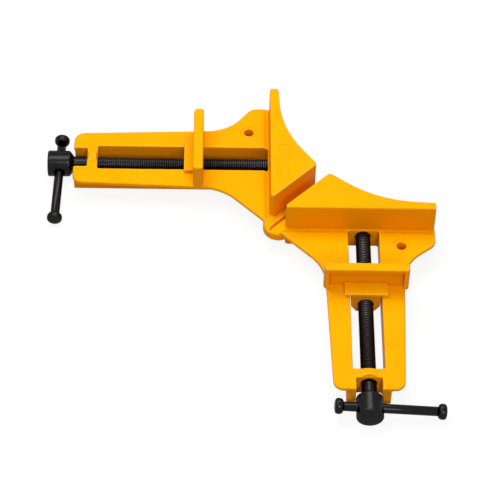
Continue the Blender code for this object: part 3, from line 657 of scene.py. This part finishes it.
for side in sides:
    place, length, radius = screwPlace(side)
    above = screwHead["crown"] + screwHead["length"] + screwHead["shankStop"]
    shank, crest = shankSurface(place, length / mm - above)
    head = headSurface(place, length, radius, joints[side + "_bar_slide"]["axis"])
    points, groups = joinShells(shank, head)
    piece = newPiece(side + "_screw_turned", meshFromArrays(side + "_screw_turned", points, groups),
                     side + "_screw", screwBlack[side], [side + "_lead_screw"])
    storeBend(piece.data, 1)
    bend = storedValues(piece.data, "bend")
    bend[:len(crest)] = crest
    storeValues(piece.data, "bend", bend)
    piece.data.set_sharp_from_angle(angle=sharpSteel)
    print("Screw", side, len(piece.data.polygons), "faces")


# Tommy bars and their caps.
tommyBar = {
    "columns": 48,
    "chamfer": 0.3,         # mm, at the bar's ends inside the caps
    "capCrown": 0.2,        # mm, height of the domed outer end
    "capOuter": 1.9,        # mm, radius of the outer rim
    "capInner": (1.9, 2.4), # mm, how far the inner end draws in towards the bar, and over what length
    "swellSteps": 8,        # along that length
    "domeRows": 6,
}


def barPlace(side):
    # middle of the bar's own box, and its tilted axis
    low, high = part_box(side + "_tommy_bar")
    return axisFrame((np.array(low) + np.array(high)) / 2.0, joints[side + "_bar_slide"]["axis"])


def nodeReach(node, place):
    # lowest and highest place of a node's points along an axis, and its largest radius
    origin, axes = place
    local = (nodeTriangles(node)[0] - origin) @ axes.T
    return local[:, 2].min(), local[:, 2].max(), np.hypot(local[:, 0], local[:, 1]).max()


def barSurface(side, place):
    # plain drawn bar between the caps, ending just inside them
    low, high, radius = nodeReach(side + "_tommy_bar", place)
    edge = tommyBar["chamfer"] * mm
    profile = [(radius - edge, low), (radius, low + edge), (radius, high - edge), (radius - edge, high)]
    return turned(profile, tommyBar["columns"], place)


def capSurface(node, place):
    # turned barrel: a quarter of an ellipse swells from the bar to the full radius, then a straight
    # band, a rounded outer rim and a slightly domed end
    low, high, radius = nodeReach(node, place)
    t = tommyBar
    outward = 1.0 if low + high > 0.0 else -1.0
    crown = t["capCrown"] * mm
    inner, outer = (low, high - crown) if outward > 0.0 else (high, low + crown)
    draw, run = (value * mm for value in t["capInner"])
    profile = []
    for turn in 0.5 * math.pi * np.arange(t["swellSteps"] + 1) / t["swellSteps"]:
        along = inner + outward * run * (1.0 - math.cos(turn))
        profile.append((radius - draw + draw * math.sin(turn), along))
    profile += roundCorner((radius, outer), t["capOuter"] * mm, (0.0, -outward), (-1.0, 0.0))
    for r in np.linspace(radius - t["capOuter"] * mm, 0.0, t["domeRows"])[1:-1]:
        profile.append((r, outer + outward * crown * (1.0 - (r / radius) ** 2)))
    return outwards(*turned(profile, t["columns"], place))


for side in sides:
    place = barPlace(side)
    points, groups = outwards(*barSurface(side, place))
    bar = newPiece(side + "_bar_drawn", meshFromArrays(side + "_bar_drawn", points, groups),
                   side + "_bar", barBlack[side], [side + "_tommy_bar"])
    bar.data.set_sharp_from_angle(angle=sharpSteel)
    for end in ("short", "long"):
        node = side + "_" + end + "_cap"
        points, groups = capSurface(node, place)
        cap = newPiece(node + "_barrel", meshFromArrays(node + "_barrel", points, groups),
                       side + "_bar", barBlack[side], [node])
        storeBend(cap.data, 0)
    nodes[side + "_retaining_pin"].material_slots[0].material = pinSteel
print("Bars, caps and pins finished")


# Stage: pale floor, soft lamps, and the photograph's viewing angle.
stageSizes = {
    "floor": 6.0,               # metres
    "floorGap": 0.0002,         # metres below the object
    "floorColour": "#B4B4B4",   # for the light that it throws back
    "floorWhite": 0.88,         # share of plain white in what the camera sees of the floor
    "floorRoughness": 0.9,
    "world": 0.24,              # strength for diffuse rays
}


white = (1.0, 1.0, 1.0, 1.0)


def seenShare(tree):
    # 1 for what the camera, gloss or glass sees, 0 for the light that falls on things
    seen = addNode(tree, "LightPath")
    some = addNode(tree, "Math", {0: seen.outputs["Is Camera Ray"], 1: seen.outputs["Is Glossy Ray"]},
                   operation="MAXIMUM")
    return addNode(tree, "Math", {0: some.outputs[0], 1: seen.outputs["Is Transmission Ray"]},
                   operation="MAXIMUM").outputs[0]


def makeFloor():
    half = stageSizes["floor"] / 2.0
    corners = np.array([(-half, -half, 0.0), (half, -half, 0.0), (half, half, 0.0), (-half, half, 0.0)])
    floor = bpy.data.objects.new("floor", meshFromArrays("floor", corners, [np.array([[0, 1, 2, 3]])]))
    floor.location = (0.0, 0.0, cadBox[0][2] - stageSizes["floorGap"])
    scene.collection.objects.link(floor)
    material, tree, shader = newMaterial("paleFloor")
    seen = seenShare(tree)
    tone = addNode(tree, "Mix", {"Factor": seen}, data_type="RGBA")
    tone.inputs["A"].default_value = hexColour(stageSizes["floorColour"])
    tone.inputs["B"].default_value = white
    tree.links.new(tone.outputs["Result"], shader.inputs["Base Color"])
    shader.inputs["Roughness"].default_value = stageSizes["floorRoughness"]
    shader.inputs["Specular IOR Level"].default_value = 0.0
    glow = addNode(tree, "Emission", {"Color": white, "Strength": 1.0})
    share = addNode(tree, "Math", {0: seen, 1: stageSizes["floorWhite"]}, operation="MULTIPLY")
    mix = addNode(tree, "MixShader", {"Fac": share.outputs[0], 1: shader.outputs[0], 2: glow.outputs[0]})
    tree.links.new(mix.outputs[0], tree.nodes["Material Output"].inputs["Surface"])
    floor.data.materials.append(material)


def makeWorld():
    # plain white, weaker for diffuse rays than for what the camera, gloss and glass see
    world = bpy.data.worlds.new("studio")
    world.use_nodes = True
    tree = world.node_tree
    strength = addNode(tree, "MapRange", {"Value": seenShare(tree), "To Min": stageSizes["world"],
                                          "To Max": 1.0})
    tree.links.new(strength.outputs["Result"], tree.nodes["Background"].inputs["Strength"])
    tree.nodes["Background"].inputs["Color"].default_value = white
    scene.world = world


lamps = {       # metres and watts: a broad key behind and above, a softbox in front, a small glint
    "key": {"from": (-0.18, 0.26, 0.88), "size": (1.10, 0.40), "power": 6.9},
    "front": {"from": (0.20, -0.92, 0.73), "size": (0.40, 0.25), "power": 3.9},
    "spark": {"from": (-0.10, -0.60, 1.15), "size": (0.05, 0.05), "power": 2.4},
}


def makeLamp(name, size):
    lamp = bpy.data.lights.new(name, "AREA")
    lamp.shape = "RECTANGLE"
    lamp.size, lamp.size_y = size["size"]
    lamp.energy = size["power"]
    holder = bpy.data.objects.new(name, lamp)
    holder.location = size["from"]
    holder.rotation_euler = (-Vector(size["from"])).to_track_quat("-Z", "Y").to_euler()
    scene.collection.objects.link(holder)


cameraView = {
    "azimuth": -1.34, "elevation": 49.33, "roll": 1.75,     # degrees
    "target": (-22.4, -29.1, 16.8),                         # mm
    "distance": 1570.0,                                     # mm
    "focal": 2364.0 / 500.0,                                # focal length over the picture's width
    "sensor": 36.0,                                         # mm, the sensor's width
    "farthest": 50.0,                                       # metres
}


def makeCamera():
    view = cameraView
    azimuth, elevation, roll = (math.radians(view[key]) for key in ("azimuth", "elevation", "roll"))
    back = Vector((math.sin(azimuth) * math.cos(elevation), -math.cos(azimuth) * math.cos(elevation),
                   math.sin(elevation)))
    level = Vector((math.cos(azimuth), math.sin(azimuth), 0.0))
    upright = back.cross(level)
    right = level * math.cos(roll) + upright * math.sin(roll)
    up = upright * math.cos(roll) - level * math.sin(roll)
    lens = bpy.data.cameras.new("photographView")
    lens.sensor_width = view["sensor"]
    lens.lens = view["focal"] * view["sensor"]
    lens.clip_end = view["farthest"]
    camera = bpy.data.objects.new("photographView", lens)
    stand = (Vector(view["target"]) + back * view["distance"]) * mm
    camera.matrix_world = Matrix.Translation(stand) @ Matrix((right, up, back)).transposed().to_4x4()
    scene.collection.objects.link(camera)
    scene.camera = camera


makeFloor()
makeWorld()
for name, size in lamps.items():
    makeLamp(name, size)
makeCamera()
scene.view_settings.view_transform = "Standard"
print("Stage ready")
